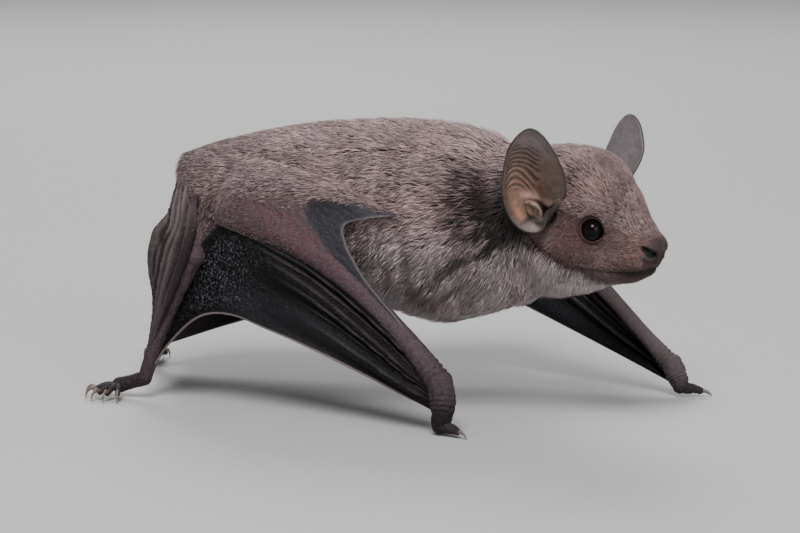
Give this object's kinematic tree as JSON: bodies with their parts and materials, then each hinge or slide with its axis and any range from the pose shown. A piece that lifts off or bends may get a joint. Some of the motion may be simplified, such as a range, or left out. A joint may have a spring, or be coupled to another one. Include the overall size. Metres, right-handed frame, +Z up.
{
  "type": "bat",
  "caption": "Small insect-eating bat standing on folded wings and feet, mid-step: furred body, wide ears, pointed muzzle, pleated wing membranes and clawed toes.",
  "frame": {"origin": "on the floor, under the middle of the bat's outer box", "axes": "+X forwards, towards the nose; +Y towards the bat's left; +Z up from the floor the bat stands on"},
  "size_m": [0.094, 0.0498, 0.0434],
  "materials": {
    "fur": "short dense fur, matt",
    "face": "thinly haired skin, matt",
    "ear_skin": "thin bare skin, soft sheen",
    "limb_skin": "bare wrinkled skin, soft sheen",
    "wing_skin": "thin wrinkled membrane, soft sheen",
    "eye": "wet black gloss",
    "claw": "smooth horn"
  },
  "bodies": {
    "root": {"head": "face", "neck": "fur", "trunk": "fur", "tail": "limb_skin", "uropatagium": "wing_skin", "eye_right": "eye", "ear_right": "ear_skin", "upper_arm_right": "fur", "forearm_right": "limb_skin", "wrist_right": "limb_skin", "thumb_right": "limb_skin", "thumb_claw_right": "claw", "propatagium_right": "wing_skin", "hand_wing_right": "wing_skin", "plagiopatagium_right": "wing_skin", "thigh_right": "fur", "shank_right": "limb_skin", "foot_right": "limb_skin", "toe_claw_right_1": "claw", "toe_claw_right_2": "claw", "toe_claw_right_3": "claw", "toe_claw_right_4": "claw", "toe_claw_right_5": "claw", "eye_left": "eye", "ear_left": "ear_skin", "upper_arm_left": "fur", "forearm_left": "limb_skin", "wrist_left": "limb_skin", "thumb_left": "limb_skin", "thumb_claw_left": "claw", "propatagium_left": "wing_skin", "hand_wing_left": "wing_skin", "plagiopatagium_left": "wing_skin", "thigh_left": "fur", "shank_left": "limb_skin", "foot_left": "limb_skin", "toe_claw_left_1": "claw", "toe_claw_left_2": "claw", "toe_claw_left_3": "claw", "toe_claw_left_4": "claw", "toe_claw_left_5": "claw"}
  },
  "joints": []
}
